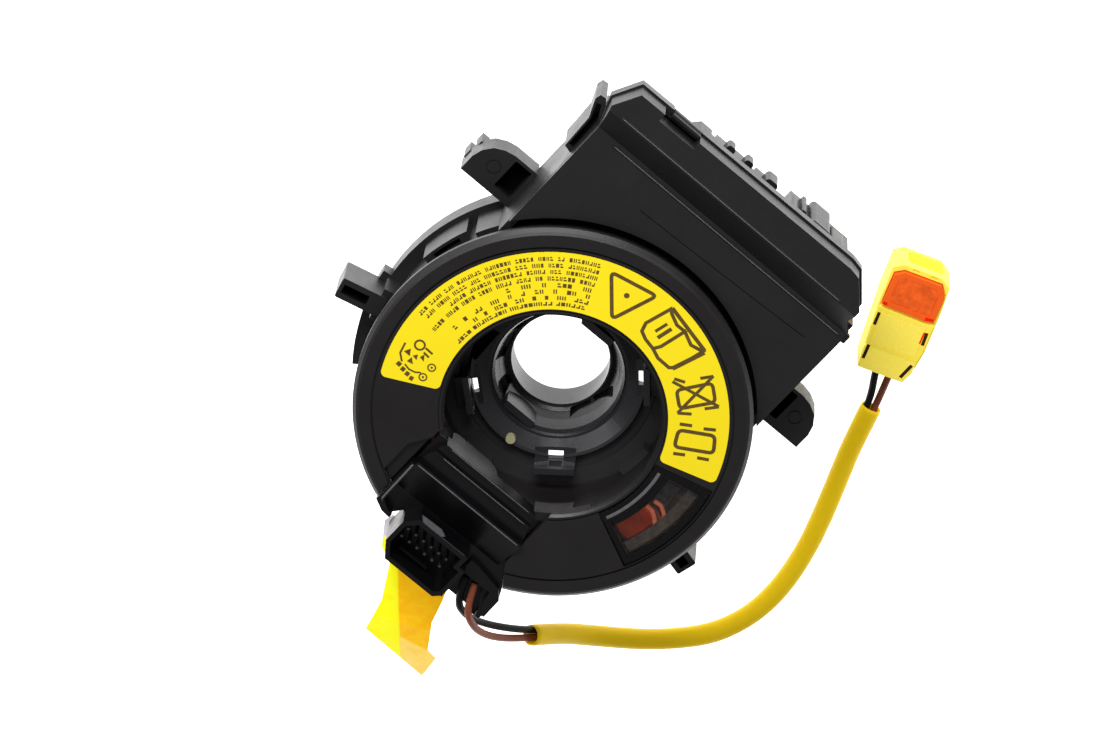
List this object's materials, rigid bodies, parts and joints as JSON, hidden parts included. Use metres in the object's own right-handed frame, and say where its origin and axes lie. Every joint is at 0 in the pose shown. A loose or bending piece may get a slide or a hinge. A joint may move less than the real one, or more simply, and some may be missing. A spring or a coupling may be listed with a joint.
{
  "type": "steering clock spring",
  "caption": "Rotary electrical connector for a steering column, with a sensor box, a wheel-side socket and a sleeved lead ending in a locking plug.",
  "frame": {"origin": "on the steering axis, in the plane of the rear locating collar on which the part rests", "axes": "+Z along the steering axis towards the steering wheel, +Y towards the sensor box, +X to its right seen from the wheel"},
  "size_m": [0.1492, 0.1671, 0.054],
  "materials": {
    "case_plastic": "fine matte black nylon",
    "lid_plastic": "fine matte black nylon",
    "rotor_plastic": "fine matte black plastic",
    "block_plastic": "fine matte black plastic",
    "hub_plastic": "grey glass-filled plastic",
    "natural_plastic": "natural acetal",
    "red_plastic": "red acetal",
    "cream_plastic": "cream yellow plastic",
    "orange_plastic": "orange plastic",
    "label_film": "yellow printed film",
    "yellow_film": "yellow translucent film",
    "clear_insert": "clear polycarbonate",
    "ribbon_film": "laminated flat conductor",
    "sleeve_vinyl": "soft yellow vinyl",
    "wire_black": "black wire insulation",
    "wire_brown": "brown wire insulation",
    "tinned_metal": "tinned copper alloy",
    "screw_steel": "zinc-plated steel",
    "magnet_grey": "sintered ferrite",
    "board_green": "solder-masked glass epoxy",
    "chip_black": "moulded epoxy"
  },
  "bodies": {
    "stator": {"stator_case": "case_plastic", "box_lid": "lid_plastic", "rear_cover": "case_plastic", "cover_screws": "screw_steel", "sensor_board": "board_green", "sensor_chips": "chip_black", "main_board": "board_green", "board_chips": "chip_black", "board_pins": "tinned_metal", "harness_blades": "tinned_metal", "ribbon_cable": "ribbon_film"},
    "rotor": {"rotor_cover": "rotor_plastic", "label_sheet": "label_film", "window_insert": "clear_insert", "hub": "hub_plastic", "hub_peg": "cream_plastic", "terminal_block": "block_plastic", "socket_pins": "tinned_metal", "drive_gear": "chip_black", "black_wire": "wire_black", "brown_wire": "wire_brown", "lead_sleeve": "sleeve_vinyl", "plug_housing": "cream_plastic", "plug_terminals": "tinned_metal", "film_tab": "yellow_film"},
    "carrier": {"roller_carrier": "natural_plastic"},
    "red_roller": {"roller_red": "red_plastic"},
    "roller_2": {"roller_b": "natural_plastic"},
    "roller_3": {"roller_c": "natural_plastic"},
    "roller_4": {"roller_d": "natural_plastic"},
    "sensor_pinion_a": {"pinion_a": "natural_plastic", "magnet_a": "magnet_grey"},
    "sensor_pinion_b": {"pinion_b": "natural_plastic", "magnet_b": "magnet_grey"},
    "lock_cap": {"plug_lock": "orange_plastic"}
  },
  "joints": [
    {"name": "rotor_turn", "type": "hinge", "parent": "stator", "child": "rotor", "pos_m": [0, 0, 0.03], "axis": [0, 0, 1], "range_deg": [-720, 720], "deforming": ["ribbon_cable", "black_wire", "brown_wire", "lead_sleeve", "film_tab"]},
    {"name": "carrier_turn", "type": "hinge", "parent": "stator", "child": "carrier", "pos_m": [0, 0, 0.03], "axis": [0, 0, 1], "range_deg": [-305.7, 305.7]},
    {"name": "roller_spin_1", "type": "hinge", "parent": "carrier", "child": "red_roller", "pos_m": [0.03671, -0.00983, 0.036], "axis": [0, 0, 1], "range_deg": [-2574.6, 2574.6]},
    {"name": "roller_spin_2", "type": "hinge", "parent": "carrier", "child": "roller_2", "pos_m": [0.00983, 0.03671, 0.036], "axis": [0, 0, 1], "range_deg": [-2574.6, 2574.6]},
    {"name": "roller_spin_3", "type": "hinge", "parent": "carrier", "child": "roller_3", "pos_m": [-0.03671, 0.00983, 0.036], "axis": [0, 0, 1], "range_deg": [-2574.6, 2574.6]},
    {"name": "roller_spin_4", "type": "hinge", "parent": "carrier", "child": "roller_4", "pos_m": [-0.00983, -0.03671, 0.036], "axis": [0, 0, 1], "range_deg": [-2574.6, 2574.6]},
    {"name": "pinion_a_turn", "type": "hinge", "parent": "stator", "child": "sensor_pinion_a", "pos_m": [0.0064, 0.03629, 0.022], "axis": [0, 0, 1], "range_deg": [-4019.5, 4019.5]},
    {"name": "pinion_b_turn", "type": "hinge", "parent": "stator", "child": "sensor_pinion_b", "pos_m": [-0.01395, 0.03454, 0.022], "axis": [0, 0, 1], "range_deg": [-3751.5, 3751.5]},
    {"name": "lock_slide", "type": "slide", "parent": "rotor", "child": "lock_cap", "axis": [0, 0, 1], "range_m": [0, 0.0025]}
  ],
  "couplings": [
    {"joint": "carrier_turn", "follows": "rotor_turn", "ratio": 0.42368},
    {"joint": "roller_spin_1", "follows": "rotor_turn", "ratio": -3.5687},
    {"joint": "roller_spin_2", "follows": "rotor_turn", "ratio": -3.5687},
    {"joint": "roller_spin_3", "follows": "rotor_turn", "ratio": -3.5687},
    {"joint": "roller_spin_4", "follows": "rotor_turn", "ratio": -3.5687},
    {"joint": "pinion_a_turn", "follows": "rotor_turn", "ratio": -5.5714},
    {"joint": "pinion_b_turn", "follows": "rotor_turn", "ratio": -5.2}
  ]
}
